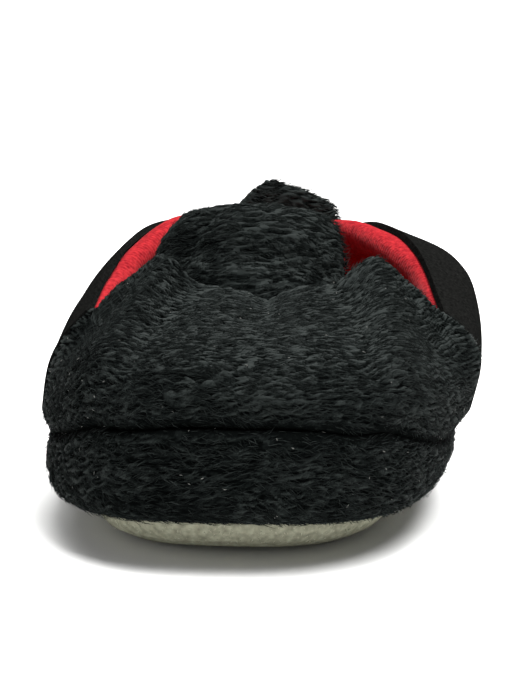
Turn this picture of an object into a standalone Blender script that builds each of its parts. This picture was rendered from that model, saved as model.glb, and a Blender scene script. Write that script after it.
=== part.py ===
"""Baby slipper: a plush upper on a padded sole, with tongue, rib collar, heel tab and insole."""
import math
from collections import namedtuple

import bmesh
import bpy
from mathutils import Vector

# Overall sizes in metres, toe towards -Y and heel towards +Y
BODY_LENGTH = 0.120
BALL_WIDTH = 0.0726
HEEL_WIDTH = 0.0668
SOLE_LENGTH = 0.1020
SOLE_BALL_WIDTH = 0.0560
SOLE_HEEL_WIDTH = 0.0500
OUTLINE_POWER = 2.65
WALL = 0.0030
GAP = 0.0003

# Shift that brings the middle of the whole shoe over the origin
CENTRE_SHIFT = Vector((-0.0010, -0.0015, 0))

# Sole edge and toe spring
SOLE_EDGE_HEIGHT = 0.0050
TOE_SPRING = 0.0022
SPRING_START = -0.028

# Lean of the soft body to one side: how far, about which height, and the height over which it builds up
BODY_LEAN = 0.0018
LEAN_HEIGHT = 0.019
LEAN_REACH = 0.010

# Side notches, where the rear edge of the vamp meets the quarters, and the throat's shift between them
NOTCH_ANGLE = math.radians(77)
THROAT_SHIFT = -0.0012

# Puff of the soft wall on the +X side: its rim draws in and the wall fills out below the rim
PUFF_INSET = 0.0024
PUFF_LEAN = 24
PUFF_CLIMB = 0.28

# Seam between the lower band and the panels above it, and the swell of the vamp over it
SEAM_DEPTH = 0.0017
SEAM_REACH = 0.06
VAMP_SWELL = 0.0017

# Tongue
TONGUE_CENTRE = -0.0044
TONGUE_THICKNESS = 0.0050

# Collar binding, a band inside the rim that stands a little above it and higher round the heel
BINDING_THICKNESS = 0.0032
BINDING_HEIGHT = 0.0088
BINDING_STAND = 0.0016
BINDING_HEEL_STAND = 0.0042

# Heel tab
TAB_THICKNESS = 0.0042
TAB_HEIGHT = 0.0094
TAB_SLOPE = 0.18
TAB_TAPER = 0.34

# Insole
INSOLE_THICKNESS = 0.0024

# How finely the forms are drawn
COLUMNS = 72

Station = namedtuple(
    "Station",
    "degrees girth_height seam_share collar_inset collar_side collar_height collar_lean "
    "climb_share reach_share",
)
STATIONS = (
    Station(0, 0.0140, 0.207, 0.0000, 0.0007, 0.0380, 8, 0.90, 0.60),
    Station(38, 0.0134, 0.155, 0.0000, 0.0007, 0.0400, 26, 0.78, 0.58),
    Station(77, 0.0124, 0.080, 0.0047, 0.0008, 0.0349, 44, 0.56, 0.50),
    Station(100, 0.0124, 0.082, 0.0062, -0.0006, 0.0424, 44, 0.63, 0.50),
    Station(135, 0.0126, 0.090, 0.0064, -0.0020, 0.0432, 50, 0.70, 0.50),
    Station(180, 0.0135, 0.110, 0.0058, -0.0020, 0.0392, 58, 0.66, 0.46),
)

ThroatRow = namedtuple("ThroatRow", "across height set_back")
THROAT_ROWS = (
    ThroatRow(0.00, 0.0385, -0.0150),
    ThroatRow(0.25, 0.0398, -0.0146),
    ThroatRow(0.42, 0.0408, -0.0126),
    ThroatRow(0.60, 0.0440, -0.0086),
    ThroatRow(0.80, 0.0402, -0.0102),
    ThroatRow(1.00, 0.0349, -0.0128),
)

TongueRow = namedtuple("TongueRow", "y z half_width thickness_share sag")
TONGUE_ROWS = (
    TongueRow(-0.0290, 0.0258, 0.0134, 0.15, 0.0020),
    TongueRow(-0.0282, 0.0262, 0.0142, 0.60, 0.0020),
    TongueRow(-0.0255, 0.0274, 0.0148, 0.92, 0.0022),
    TongueRow(-0.0205, 0.0300, 0.0154, 1.00, 0.0026),
    TongueRow(-0.0142, 0.0342, 0.0166, 1.00, 0.0034),
    TongueRow(-0.0098, 0.0384, 0.0176, 1.06, 0.0038),
    TongueRow(-0.0054, 0.0430, 0.0177, 1.10, 0.0038),
    TongueRow(-0.0014, 0.0473, 0.0170, 1.06, 0.0034),
    TongueRow(0.0010, 0.0496, 0.0160, 0.88, 0.0030),
    TongueRow(0.0025, 0.0509, 0.0147, 0.54, 0.0026),
    TongueRow(0.0030, 0.0513, 0.0130, 0.15, 0.0022),
)

TabRow = namedtuple("TabRow", "climb half_degrees thickness_share")
TAB_ROWS = (
    TabRow(-0.46, 11, 0.15),
    TabRow(-0.44, 12.5, 0.60),
    TabRow(-0.36, 14, 0.95),
    TabRow(-0.18, 15, 1.00),
    TabRow(0.00, 15.5, 1.00),
    TabRow(0.28, 15, 1.05),
    TabRow(0.55, 13.8, 1.12),
    TabRow(0.76, 11.8, 1.05),
    TabRow(0.90, 9.2, 0.80),
    TabRow(0.98, 6.5, 0.45),
    TabRow(1.00, 4.5, 0.15),
)

MATERIALS = {
    "sole": (0.30, 0.30, 0.22),
    "insole": (0.30, 0.02, 0.03),
    "upper": (0.012, 0.014, 0.014),
    "tongue": (0.014, 0.016, 0.016),
    "collar_binding": (0.38, 0.018, 0.022),
    "heel_tab": (0.013, 0.015, 0.015),
}


def signed_power(value, exponent):
    """Raise a value to an exponent and keep its sign."""
    return math.copysign(abs(value) ** exponent, value)


def ease(start, end, value):
    """Rise smoothly from 0 to 1 between start and end."""
    share = min(max((value - start) / (end - start), 0.0), 1.0)
    return share * share * (3 - 2 * share)


def table_value(rows, key, column, place):
    """Read one column of a table at a place along its key column, as a smooth curve through the rows."""
    index = 0
    while index < len(rows) - 2 and place > getattr(rows[index + 1], key):
        index += 1
    picks = [rows[max(index - 1, 0)], rows[index], rows[index + 1], rows[min(index + 2, len(rows) - 1)]]
    keys = [getattr(row, key) for row in picks]
    values = [getattr(row, column) for row in picks]
    span = keys[2] - keys[1]
    share = min(max((place - keys[1]) / span, 0.0), 1.0)
    slope_in = (values[2] - values[0]) / (keys[2] - keys[0]) * span if index else 0.0
    slope_out = (values[3] - values[1]) / (keys[3] - keys[1]) * span if index + 2 < len(rows) else 0.0
    square = share * share
    cube = square * share
    start = (2 * cube - 3 * square + 1) * values[1] + (cube - 2 * square + share) * slope_in
    return start + (3 * square - 2 * cube) * values[2] + (cube - square) * slope_out


def station_value(column, angle):
    """Read one column of the station table at an angle round from the toe."""
    return table_value(STATIONS, "degrees", column, math.degrees(abs(angle)))


def outline(angle, length, ball_width, heel_width):
    """Plan of the last at an angle round from the toe, as x and y."""
    exponent = 2 / OUTLINE_POWER
    y = -length / 2 * signed_power(math.cos(angle), exponent)
    towards_heel = ease(-0.25, 0.80, 2 * y / length)
    half_width = (ball_width + (heel_width - ball_width) * towards_heel) / 2
    return half_width * signed_power(math.sin(angle), exponent), y


def toe_lift(y):
    """Height that the toe spring adds at a place along the shoe."""
    if y > SPRING_START:
        return 0.0
    reach = SPRING_START + SOLE_LENGTH / 2
    return TOE_SPRING * ((SPRING_START - y) / reach) ** 2


def base_point(angle):
    """Point of the edge where upper and sole meet."""
    x, y = outline(angle, SOLE_LENGTH, SOLE_BALL_WIDTH, SOLE_HEEL_WIDTH)
    return Vector((x, y, SOLE_EDGE_HEIGHT + toe_lift(y)))


def girth_point(angle):
    """Point of the fullest line round the body."""
    x, y = outline(angle, BODY_LENGTH, BALL_WIDTH, HEEL_WIDTH)
    return Vector((x, y, station_value("girth_height", angle)))


def inset_outline(angle, inset):
    """Plan of the body drawn in by an inset."""
    return outline(angle, BODY_LENGTH - 2 * inset, BALL_WIDTH - 2 * inset, HEEL_WIDTH - 2 * inset)


def puff(angle):
    """Share of the puff at an angle."""
    return ease(NOTCH_ANGLE - 0.40, NOTCH_ANGLE + 0.40, angle) * (1 - ease(2.1, 2.9, angle))


def collar_point(angle):
    """Point of the top edge: the vamp's rear edge in front of the notches, the quarters behind."""
    turn = abs(angle)
    if turn > NOTCH_ANGLE:
        x, y = inset_outline(angle, station_value("collar_inset", angle) + PUFF_INSET * puff(angle))
        x += station_value("collar_side", angle)
        return Vector((x, y, station_value("collar_height", angle)))
    notch_x, notch_y = inset_outline(NOTCH_ANGLE, station_value("collar_inset", NOTCH_ANGLE))
    share = turn / NOTCH_ANGLE
    across = 0.4 * math.sin(share * math.pi / 2) + 0.6 * share
    x = math.copysign(notch_x * across, angle) + station_value("collar_side", NOTCH_ANGLE)
    x += THROAT_SHIFT * (1 - across * across)
    y = notch_y + table_value(THROAT_ROWS, "across", "set_back", across) - THROAT_ROWS[-1].set_back
    return Vector((x, y, table_value(THROAT_ROWS, "across", "height", across)))


def arrival(angle):
    """Direction in which the wall runs as it comes up to its top edge."""
    lean = math.radians(station_value("collar_lean", angle) - PUFF_LEAN * puff(angle))
    inward = collar_point(angle) - girth_point(angle)
    inward.z = 0
    inward.normalize()
    return inward * math.cos(lean) + Vector((0, 0, math.sin(lean)))


def bezier(points, share):
    """Point of a cubic curve through four control points."""
    rest = 1 - share
    weights = (rest ** 3, 3 * rest ** 2 * share, 3 * rest * share ** 2, share ** 3)
    return sum((point * weight for point, weight in zip(points, weights)), Vector((0, 0, 0)))


def lower_curve(angle):
    """Control points of the wall from the sole's edge out to the fullest line."""
    base = base_point(angle)
    girth = girth_point(angle)
    outward = girth - base
    climb = outward.z
    outward.z = 0
    leaving = base + outward * 0.78 + Vector((0, 0, climb * 0.05))
    return base, leaving, girth - Vector((0, 0, climb * 0.70)), girth


def upper_curve(angle):
    """Control points of the wall from the fullest line over to the top edge."""
    girth = girth_point(angle)
    collar = collar_point(angle)
    reach = (collar - girth).length * station_value("reach_share", angle)
    climb = (collar.z - girth.z) * (station_value("climb_share", angle) + PUFF_CLIMB * puff(angle))
    return girth, girth + Vector((0, 0, climb)), collar - arrival(angle) * reach, collar


def smooth_wall_point(angle, rise):
    """Wall without its seam: rise 0 at the sole, 1 at the fullest line and 2 at the top edge."""
    if rise < 1:
        return bezier(lower_curve(angle), rise)
    return bezier(upper_curve(angle), rise - 1)


def wall_normal(angle, rise):
    """Direction out of the wall."""
    step = 0.002
    low = max(rise - step, 0.0)
    high = min(rise + step, 2.0)
    along = smooth_wall_point(angle, high) - smooth_wall_point(angle, low)
    middle = (low + high) / 2
    around = smooth_wall_point(angle + step, middle) - smooth_wall_point(angle - step, middle)
    return around.cross(along).normalized()


def seam_rise(angle):
    """Rise at which the seam runs at an angle."""
    return 1 + station_value("seam_share", angle)


def wall_point(angle, rise):
    """Outside of the upper, with the trough of its seam and the swell of its vamp."""
    above = rise - seam_rise(angle)
    trough = SEAM_DEPTH * max(0.0, 1 - abs(above) / SEAM_REACH)
    front = 1 - ease(NOTCH_ANGLE - 0.06, NOTCH_ANGLE + 0.50, abs(angle))
    swell = VAMP_SWELL * front * ease(0.0, 0.12, above)
    return smooth_wall_point(angle, rise) + wall_normal(angle, rise) * (swell - trough)


def add_object(name, mesh_builder, collection):
    """Make one named sub-part from a filled bmesh."""
    mesh = bpy.data.meshes.new(name)
    bmesh.ops.recalc_face_normals(mesh_builder, faces=mesh_builder.faces)
    mesh_builder.to_mesh(mesh)
    mesh_builder.free()
    for polygon in mesh.polygons:
        polygon.use_smooth = True
    part = bpy.data.objects.new(name, mesh)
    material = bpy.data.materials.new(name)
    material.use_nodes = True
    shader = material.node_tree.nodes["Principled BSDF"]
    shader.inputs["Base Color"].default_value = (*MATERIALS[name], 1)
    shader.inputs["Roughness"].default_value = 0.9
    mesh.materials.append(material)
    collection.objects.link(part)
    return part


def add_rings(builder, rings, closed=True):
    """Skin a list of point rings with quads and return their vertices."""
    rows = [[builder.verts.new(point) for point in ring] for ring in rings]
    count = len(rows[0])
    for low, high in zip(rows, rows[1:]):
        for index in range(count if closed else count - 1):
            after = (index + 1) % count
            builder.faces.new((low[index], low[after], high[after], high[index]))
    return rows


def add_ladder(builder, row):
    """Close a ring that starts at the toe with strips from side to side."""
    count = len(row)
    for index in range(count // 2):
        corners = (row[index], row[index + 1], row[-index - 1], row[-index])
        builder.faces.new(tuple(dict.fromkeys(corners)))


def column_angles():
    """Angles round the shoe from the toe, with a column on each notch."""
    front = COLUMNS // 4 - 1
    half = [NOTCH_ANGLE * index / front for index in range(front)]
    back = COLUMNS // 2 - front
    half += [NOTCH_ANGLE + (math.pi - NOTCH_ANGLE) * index / back for index in range(back + 1)]
    return half + [-angle for angle in reversed(half[1:-1])]


def wall_rises(angle):
    """Rises of the rows of the upper at an angle, gathered about its seam."""
    seam = seam_rise(angle)
    lower = [0.0, 0.2, 0.4, 0.6, 0.8, 0.94]
    about = [seam - SEAM_REACH, seam, seam + SEAM_REACH]
    top = about[-1]
    upper = [top + (2 - top) * share for share in (0.09, 0.20, 0.33, 0.48, 0.64, 0.80, 0.91, 1.0)]
    return lower + about + upper


def build_upper(collection):
    """Hollow upper: an open wall with Solidify for its thickness."""
    columns = [[wall_point(angle, rise) for rise in wall_rises(angle)] for angle in column_angles()]
    builder = bmesh.new()
    add_rings(builder, list(zip(*columns)))
    upper = add_object("upper", builder, collection)
    thicken = upper.modifiers.new("wall", "SOLIDIFY")
    thicken.thickness = WALL
    thicken.offset = -1
    thicken.use_quality_normals = True
    return upper


def sole_rings():
    """Rings of the sole from its flat underside round its edge to the seat of the upper."""
    rings = []
    for inset, height in ((0.0078, 0.0), (0.0046, 0.0004), (0.0020, 0.0016), (0.0005, 0.0034)):
        length, ball, heel = (size - 2 * inset for size in (SOLE_LENGTH, SOLE_BALL_WIDTH, SOLE_HEEL_WIDTH))
        ring = []
        for angle in column_angles():
            x, y = outline(angle, length, ball, heel)
            ring.append(Vector((x, y, height + toe_lift(y))))
        rings.append(ring)
    edge = []
    seat = []
    for angle in column_angles():
        base = base_point(angle)
        along = (smooth_wall_point(angle, 0.03) - base).normalized()
        clear = along * (GAP + 0.0002)
        edge.append(base - clear)
        seat.append(base - clear - wall_normal(angle, 0.0) * WALL)
    return rings + [edge, seat]


def build_sole(collection):
    """Padded sole, flat underneath from heel to ball."""
    builder = bmesh.new()
    rows = add_rings(builder, sole_rings())
    add_ladder(builder, rows[0])
    add_ladder(builder, rows[-1])
    return add_object("sole", builder, collection)


def build_insole(collection):
    """Thin footbed on top of the sole."""
    seat = sole_rings()[-1]
    rings = []
    for inset, height in ((0.0022, 0.0), (0.0014, 0.0006), (0.0014, 0.0018), (0.0026, INSOLE_THICKNESS)):
        ring = []
        for point in seat:
            inward = Vector((-point.x, -point.y * 0.6, 0)).normalized()
            ring.append(point + inward * inset + Vector((0, 0, GAP + height)))
        rings.append(ring)
    builder = bmesh.new()
    rows = add_rings(builder, rings)
    add_ladder(builder, rows[0])
    add_ladder(builder, rows[-1])
    return add_object("insole", builder, collection)


def pad_loop(count, power):
    """Shares across and through a padded flap, round its section."""
    shares = []
    for index in range(count):
        turn = 2 * math.pi * index / count
        shares.append((signed_power(math.cos(turn), 2 / power), signed_power(math.sin(turn), 2 / power)))
    return shares


def build_tongue(collection):
    """Padded tongue, lofted through the sections of its rows."""
    rings = []
    for index, row in enumerate(TONGUE_ROWS):
        before = TONGUE_ROWS[max(index - 1, 0)]
        after = TONGUE_ROWS[min(index + 1, len(TONGUE_ROWS) - 1)]
        along = Vector((0, after.y - before.y, after.z - before.z)).normalized()
        face = Vector((0, -along.z, along.y))
        ring = []
        for across, through in pad_loop(28, 3.2):
            middle = Vector((TONGUE_CENTRE + row.half_width * across, row.y, row.z))
            middle -= face * row.sag * across * across
            ring.append(middle + face * through * row.thickness_share * TONGUE_THICKNESS / 2)
        rings.append(ring)
    builder = bmesh.new()
    rows = add_rings(builder, rings)
    builder.faces.new(rows[0])
    builder.faces.new(rows[-1])
    return add_object("tongue", builder, collection)


def band_frame(angle, drop):
    """Inside of the wall a drop below its rim, with the directions along the wall and out of it."""
    pace = (smooth_wall_point(angle, 2.0) - smooth_wall_point(angle, 1.97)).length / 0.03
    rise = 2 - drop / pace
    out = wall_normal(angle, rise)
    along = (smooth_wall_point(angle, rise) - smooth_wall_point(angle, rise - 0.02)).normalized()
    return wall_point(angle, rise) - out * WALL, along, out


def build_collar_binding(collection):
    """Rib band inside the rim of the quarters, drawn down at its two ends."""
    start = NOTCH_ANGLE + math.radians(5)
    count = 64
    rings = []
    for index in range(count + 1):
        share = index / count
        angle = start + (2 * math.pi - 2 * start) * share
        angle = angle if angle <= math.pi else angle - 2 * math.pi
        size = 0.25 + 0.75 * ease(0.0, 0.16, min(share, 1 - share))
        height = BINDING_HEIGHT * size
        thickness = BINDING_THICKNESS * (0.6 + 0.4 * size)
        stand = BINDING_STAND + (BINDING_HEEL_STAND - BINDING_STAND) * ease(1.5, 2.2, abs(angle))
        inside, along, out = band_frame(angle, height / 2 - stand * size)
        centre = inside - out * (2 * GAP + thickness / 2)
        ring = []
        for across, through in pad_loop(14, 2.6):
            ring.append(centre + out * across * thickness / 2 + along * through * height / 2)
        rings.append(ring)
    builder = bmesh.new()
    rows = add_rings(builder, rings)
    builder.faces.new(rows[0])
    builder.faces.new(rows[-1])
    return add_object("collar_binding", builder, collection)


def tab_middle(angle, climb, height):
    """Point on the outside of the heel, carried on above the rim, and the direction out there."""
    if climb <= 0:
        return wall_point(angle, 2 + climb), wall_normal(angle, 2 + climb)
    rim = wall_point(angle, 2.0)
    out = wall_normal(angle, 2.0)
    level = Vector((out.x, out.y, 0)).normalized()
    straight = ease(0.0, 0.5, climb)
    out = out.lerp(level, straight).normalized()
    along = (rim - wall_point(angle, 1.97)).normalized()
    lift = Vector((0, 0, 1)) * straight + along * (1 - straight)
    return rim + lift * climb * height, out


def build_heel_tab(collection):
    """Plush tab against the outside of the heel, standing above the collar."""
    rings = []
    for row in TAB_ROWS:
        ring = []
        for across, through in pad_loop(24, 3.0):
            taper = 1 - TAB_TAPER * ease(0.2, 1.0, row.climb) if across < 0 else 1.0
            angle = math.pi - math.radians(row.half_degrees) * across * taper
            angle = angle if angle <= math.pi else angle - 2 * math.pi
            foot, out = tab_middle(angle, row.climb, TAB_HEIGHT * (1 - TAB_SLOPE * (1 + across) / 2))
            depth = GAP + 0.0003 + TAB_THICKNESS / 2 * (1 + through * row.thickness_share)
            ring.append(foot + out * depth)
        rings.append(ring)
    builder = bmesh.new()
    rows = add_rings(builder, rings)
    builder.faces.new(rows[0])
    builder.faces.new(rows[-1])
    return add_object("heel_tab", builder, collection)


def placed(point):
    """Point carried to one side by the lean of the body, and brought over the origin."""
    lean = BODY_LEAN * math.tanh((point.z - LEAN_HEIGHT) / LEAN_REACH)
    return point + Vector((lean, 0, 0)) + CENTRE_SHIFT


def main():
    """Clear the scene, build each sub-part and bring it to its place."""
    for old in list(bpy.data.objects):
        bpy.data.objects.remove(old, do_unlink=True)
    collection = bpy.data.collections.new("baby_slipper")
    bpy.context.scene.collection.children.link(collection)
    build_sole(collection)
    build_insole(collection)
    build_upper(collection)
    build_tongue(collection)
    build_collar_binding(collection)
    build_heel_tab(collection)
    for part in collection.objects:
        for vertex in part.data.vertices:
            vertex.co = placed(vertex.co)


main()
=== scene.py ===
"""Baby slipper in black plush: pile, rib collar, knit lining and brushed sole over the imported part."""

import math

import bpy
import numpy as np
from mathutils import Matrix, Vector


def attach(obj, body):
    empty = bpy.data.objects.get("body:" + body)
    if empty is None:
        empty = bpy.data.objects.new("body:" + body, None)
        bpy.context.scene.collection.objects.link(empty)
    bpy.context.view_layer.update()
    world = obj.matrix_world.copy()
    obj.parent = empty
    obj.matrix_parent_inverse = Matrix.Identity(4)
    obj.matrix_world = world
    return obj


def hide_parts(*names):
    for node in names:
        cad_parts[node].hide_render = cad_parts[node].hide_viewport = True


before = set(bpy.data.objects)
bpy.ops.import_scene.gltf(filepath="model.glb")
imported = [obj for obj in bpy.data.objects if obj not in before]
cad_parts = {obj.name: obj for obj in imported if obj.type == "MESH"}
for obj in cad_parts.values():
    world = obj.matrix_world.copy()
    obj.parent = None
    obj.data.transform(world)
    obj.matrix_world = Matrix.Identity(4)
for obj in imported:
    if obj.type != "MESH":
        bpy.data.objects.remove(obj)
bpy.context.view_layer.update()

# Body in metres, with its angles and shares, toe towards -Y and heel towards +Y
BODY_LENGTH = 0.120
BALL_WIDTH = 0.0726
HEEL_WIDTH = 0.0668
OUTLINE_POWER = 2.65
FLARE_REACH = 0.78
FLARE_CLIMB = 0.05
GIRTH_DROP = 0.70
WALL = 0.0030
GAP = 0.0003
NOTCH_ANGLE = math.radians(77)
BODY_LEAN = 0.0018
LEAN_HEIGHT = 0.019
LEAN_REACH = 0.010
THROAT_SHIFT = -0.0012
PUFF_INSET = 0.0024
PUFF_LEAN = 24
PUFF_CLIMB = 0.28

# Sole and footbed
SOLE_LENGTH = 0.1020
SOLE_BALL_WIDTH = 0.0560
SOLE_HEEL_WIDTH = 0.0500
SOLE_EDGE_HEIGHT = 0.0050
TOE_SPRING = 0.0022
SPRING_START = -0.028
SEAT_INSET = 0.0040
SEAT_RISE = 0.0010
INSOLE_THICKNESS = 0.0024

# Quarters and lining
QUARTER_SINK = 0.0002
QUARTER_THICKNESS = 0.0012
LINING_FOOT = 0.02
LINING_TOP = 1.985
LINING_SINK = 0.0027
LINING_DIP = 0.0016
LINING_DIP_REACH = 0.10
LINING_THICKNESS = 0.0009

# Tongue, with places counted along its table
TONGUE_CENTRE = -0.0044
TONGUE_THICKNESS = 0.0050
TONGUE_HALF_WIDTH = 0.0165
TONGUE_CORNER = 0.0016
TONGUE_FOLD = 0.0013
TONGUE_FOLD_PLACE = 6.1
TONGUE_HOLLOW = 0.0014
TONGUE_LINING_SEAT = 0.0001
TONGUE_POWER = 3.2

# Heel tab
TAB_THICKNESS = 0.0042
TAB_HEIGHT = 0.0094
TAB_SLOPE = 0.18
TAB_TAPER = 0.34
TAB_DROOP = 0.17
TAB_POWER = 3.0
HEEL_RADIUS = 0.045
LEAST_DEPTH = 0.0002

# Collar binding
BINDING_THICKNESS = 0.0032
BINDING_HEIGHT = 0.0088
BINDING_STAND = 0.0016
BINDING_HEEL_STAND = 0.0042
BINDING_START = math.radians(5)
BINDING_END_SIZE = 0.25
BINDING_POWER = 2.4
BINDING_COVER = 0.0015
RIB_PITCH = 0.00095
RIB_DEPTH = 0.00018

# Pile: how far its backing lies below the outside of the part, and how the seam draws it in
PILE_SINK = 0.0010
SEAM_DEPTH = 0.0019
SEAM_REACH = 0.013
SEAM_SOFTENING = 0.80
SEAM_TUCK = 0.0006
SEAM_OVERLAP = 0.010
SEAM_PILE = 0.25
ROLL_RADIUS = 0.0010
VAMP_SWELL = 0.0017
BACKING = 0.0008
LOCK_LENGTH = 0.0019
LOCK_WIDTH = 0.00058
LOCK_HEIGHT = 0.0007
LAY_WAVE = 0.20

# Hairs, loose fibres and nap: lengths and half widths in metres, lifts in degrees
HAIR_LENGTH = (0.0018, 0.0034)
HAIR_HALF_WIDTH = (0.00005, 0.00009)
HAIR_LIFT = (6, 24)
HAIR_STRAY = 0.25
HAIR_DROOP = 0.08
FOOT_DROOP = 0.95
FLAP_DROOP = 0.12
FLAP_HAIR_SHARE = 0.9
HAIR_BEND = 0.45
HAIR_CURL = 0.25
HAIR_ROOT = 0.0003
HAIR_TONE = (2.0, 0.6)
LINT_LENGTH = (0.0004, 0.0009)
LINT_HALF_WIDTH = (0.00006, 0.00010)
LINT_LIFT = (0, 20)
LINT_RAISE = 0.0005
NAP_LENGTH = (0.0005, 0.0010)
NAP_HALF_WIDTH = (0.00008, 0.00014)
NAP_LIFT = (5, 35)

# How many hairs and loose fibres each piece has
VAMP_HAIRS = 22000
BAND_HAIRS = 22000
TONGUE_HAIRS = 6000
TAB_HAIRS = 4500
NAP_HAIRS = 8000
VAMP_LINT = 55
BAND_LINT = 90

# Rows and columns of the grids
ROUND_COLUMNS = 900
FRONT_COLUMNS = 400
BEHIND_COLUMNS = 160
LINED_COLUMNS = 144
BAND_ROWS = 88
BAND_INNER_ROWS = 8
VAMP_ROWS = 205
VAMP_INNER_ROWS = 14
ROLL_ROWS = 8
QUARTER_ROWS = 50
LINING_ROWS = 40
TONGUE_GRID = (190, 230)
TONGUE_REAR_ROWS = slice(24, 178, 6)
TAB_GRID = (110, 160)
BINDING_GRID = (1100, 18)
SOLE_COLUMNS = 220
FOOTBED_COLUMNS = 180

# Tones of the plush: the share of faces below each tone, and broad painted shades and painted lights that
# move them
TONE_SHARES = (0.24, 0.50, 0.79)
TONE_STRAY = 0.07
BAND_SHADE = 0.13
VAMP_SHADE = 0.05
VAMP_LIGHT = 0.19
TONGUE_LIGHT = 0.20
TONGUE_FOOT_SHADE = 0.46
TONGUE_HOLLOW_SHADE = 0.40
TONGUE_FOLD_SHADE = 0.26
TAB_LIGHT = 0.30

# Stage
FLOOR_REACH = 8.0
BACKDROP_START = 2.4
BACKDROP_RADIUS = 0.6
BACKDROP_HEIGHT = 2.5
SHOE_MIDDLE = (0, 0, 0.02)
WORLD_STRENGTH = 0.32

# Rough length of a degree round the wall and of a whole rise, for placing creases
DEGREE_LENGTH = 0.00058
RISE_LENGTH = 0.030


def table(columns, *rows):
    """A short table with named columns."""
    return np.array(list(rows), dtype=[(name, float) for name in columns.split()])


STATIONS = table(
    "degrees girth_height seam_share collar_inset collar_side"
    " collar_height collar_lean climb_share reach_share",
    (0, 0.0140, 0.207, 0.0000, 0.0007, 0.0380, 8, 0.90, 0.60),
    (38, 0.0134, 0.155, 0.0000, 0.0007, 0.0400, 26, 0.78, 0.58),
    (77, 0.0124, 0.080, 0.0047, 0.0008, 0.0349, 44, 0.56, 0.50),
    (100, 0.0124, 0.082, 0.0062, -0.0006, 0.0424, 44, 0.63, 0.50),
    (135, 0.0126, 0.090, 0.0064, -0.0020, 0.0432, 50, 0.70, 0.50),
    (180, 0.0135, 0.110, 0.0058, -0.0020, 0.0392, 58, 0.66, 0.46),
)
THROAT_ROWS = table(
    "across height set_back",
    (0.00, 0.0385, -0.0150),
    (0.25, 0.0398, -0.0146),
    (0.42, 0.0408, -0.0126),
    (0.60, 0.0440, -0.0086),
    (0.80, 0.0402, -0.0102),
    (1.00, 0.0349, -0.0128),
)
TONGUE_ROWS = table(
    "place y z half_width thickness_share sag",
    (0, -0.0290, 0.0258, 0.0134, 0.15, 0.0020),
    (1, -0.0282, 0.0262, 0.0142, 0.60, 0.0020),
    (2, -0.0255, 0.0274, 0.0148, 0.92, 0.0022),
    (3, -0.0205, 0.0300, 0.0154, 1.00, 0.0026),
    (4, -0.0142, 0.0342, 0.0166, 1.00, 0.0034),
    (5, -0.0098, 0.0384, 0.0176, 1.06, 0.0038),
    (6, -0.0054, 0.0430, 0.0177, 1.10, 0.0038),
    (7, -0.0014, 0.0473, 0.0170, 1.06, 0.0034),
    (8, 0.0010, 0.0496, 0.0160, 0.88, 0.0030),
    (9, 0.0025, 0.0509, 0.0147, 0.54, 0.0026),
    (10, 0.0030, 0.0513, 0.0130, 0.15, 0.0022),
)
TAB_ROWS = table(
    "place climb half_degrees thickness_share",
    (0, -0.46, 11, 0.15),
    (1, -0.44, 12.5, 0.60),
    (2, -0.36, 14, 0.95),
    (3, -0.18, 15, 1.00),
    (4, 0.00, 15.5, 1.00),
    (5, 0.28, 15, 1.05),
    (6, 0.55, 13.8, 1.12),
    (7, 0.76, 11.8, 1.05),
    (8, 0.90, 9.2, 0.80),
    (9, 0.98, 6.5, 0.45),
    (10, 1.00, 4.5, 0.15),
)
CREASES = table(
    "degrees rise end_degrees end_rise width depth",
    (2, 2.00, 1, 1.80, 0.0026, 0.0014),
    (-22, 2.00, -30, 1.62, 0.0040, 0.0007),
    (26, 2.00, 33, 1.66, 0.0040, 0.0007),
    (-50, 1.98, -62, 1.55, 0.0050, 0.0009),
    (54, 1.98, 66, 1.50, 0.0050, 0.0008),
    (44, 1.17, 66, 1.24, 0.0022, 0.0012),
    (-14, 1.60, 16, 1.56, 0.0060, -0.0005),
    (-48, 1.45, -30, 1.40, 0.0060, -0.0006),
    (112, 1.30, 128, 1.75, 0.0050, 0.0008),
    (-118, 1.35, -130, 1.80, 0.0050, 0.0008),
    (150, 1.25, 156, 1.70, 0.0050, 0.0006),
    (-152, 1.28, -160, 1.72, 0.0050, 0.0006),
)
SOLE_EDGE_ROWS = table(
    "place inset height",
    (0, 0.0078, 0.0000),
    (1, 0.0046, 0.0004),
    (2, 0.0020, 0.0016),
    (3, 0.0005, 0.0034),
    (4, 0.0004, SOLE_EDGE_HEIGHT - GAP),
)
FOOTBED_ROWS = table(
    "inset height",
    (0.0014, 0.0000),
    (0.0003, 0.0006),
    (0.0003, 0.0018),
    (0.0016, INSOLE_THICKNESS),
)
UP = np.array([0.0, 0.0, 1.0])
CENTRE_SHIFT = np.array((-0.0010, -0.0015, 0))


def signed_power(value, exponent):
    """Raise values to an exponent and keep their signs."""
    return np.sign(value) * np.abs(value) ** exponent


def ease(start, end, value):
    """Rise smoothly from 0 to 1 between start and end."""
    share = np.clip((value - start) / (end - start), 0, 1)
    return share * share * (3 - 2 * share)


def unit(vectors):
    """Vectors brought to length one."""
    return vectors / np.maximum(np.linalg.norm(vectors, axis=-1, keepdims=True), 1e-12)


def column(values):
    """Values set out to multiply vectors."""
    return np.asarray(values)[..., None]


def read(rows, key, name, place):
    """Read one column of a table at places along its key column, as a smooth curve through the rows."""
    keys = rows[key]
    values = rows[name]
    slopes = np.zeros(len(rows))
    slopes[1:-1] = (values[2:] - values[:-2]) / (keys[2:] - keys[:-2])
    index = np.clip(np.searchsorted(keys, place, side="right") - 1, 0, len(rows) - 2)
    span = keys[index + 1] - keys[index]
    share = np.clip((place - keys[index]) / span, 0, 1)
    square = share * share
    cube = square * share
    start = (2 * cube - 3 * square + 1) * values[index] + (cube - 2 * square + share) * slopes[index] * span
    return start + (3 * square - 2 * cube) * values[index + 1] + (cube - square) * slopes[index + 1] * span


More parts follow.
